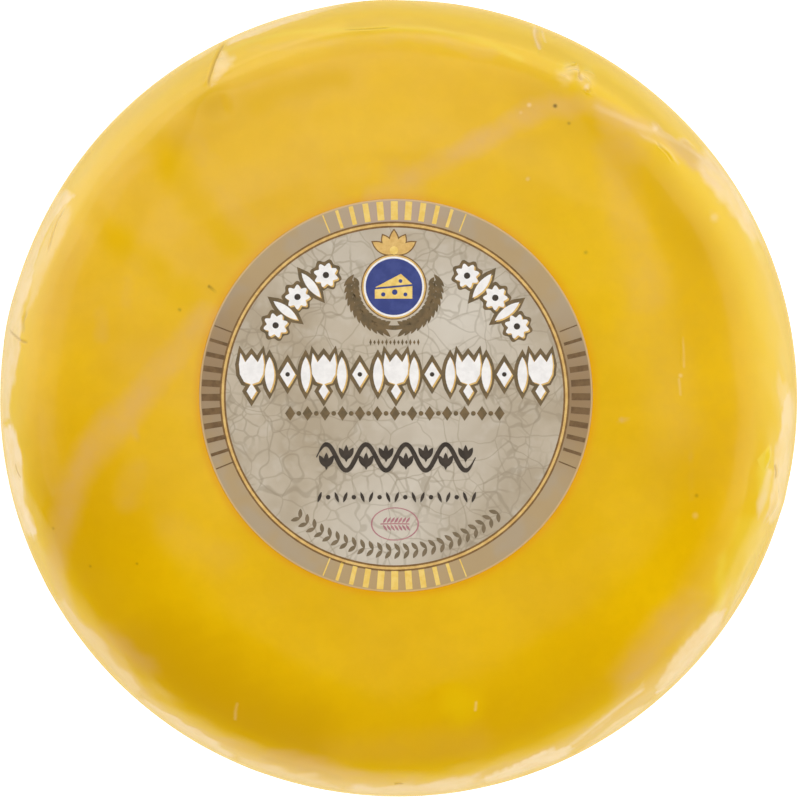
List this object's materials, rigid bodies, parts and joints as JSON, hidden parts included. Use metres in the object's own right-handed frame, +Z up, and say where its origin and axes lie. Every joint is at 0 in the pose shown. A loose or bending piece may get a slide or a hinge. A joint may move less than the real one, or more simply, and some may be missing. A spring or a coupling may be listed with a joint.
{
  "type": "baby gouda cheese wheel",
  "caption": "Whole small round cheese with bulging sides, in a glossy yellow coating, with a round paper label stuck on its top.",
  "frame": {"origin": "middle of the flat spot on the underside that the cheese rests on, on its axis", "axes": "+Z up along the axis of the wheel, through the label; +Y towards the top of the label's print, +X towards its right"},
  "size_m": [0.1051, 0.1049, 0.0523],
  "materials": {
    "coating": "satin",
    "paper": "satin"
  },
  "bodies": {
    "root": {"cheese_wheel": "coating", "label": "paper"}
  },
  "joints": []
}
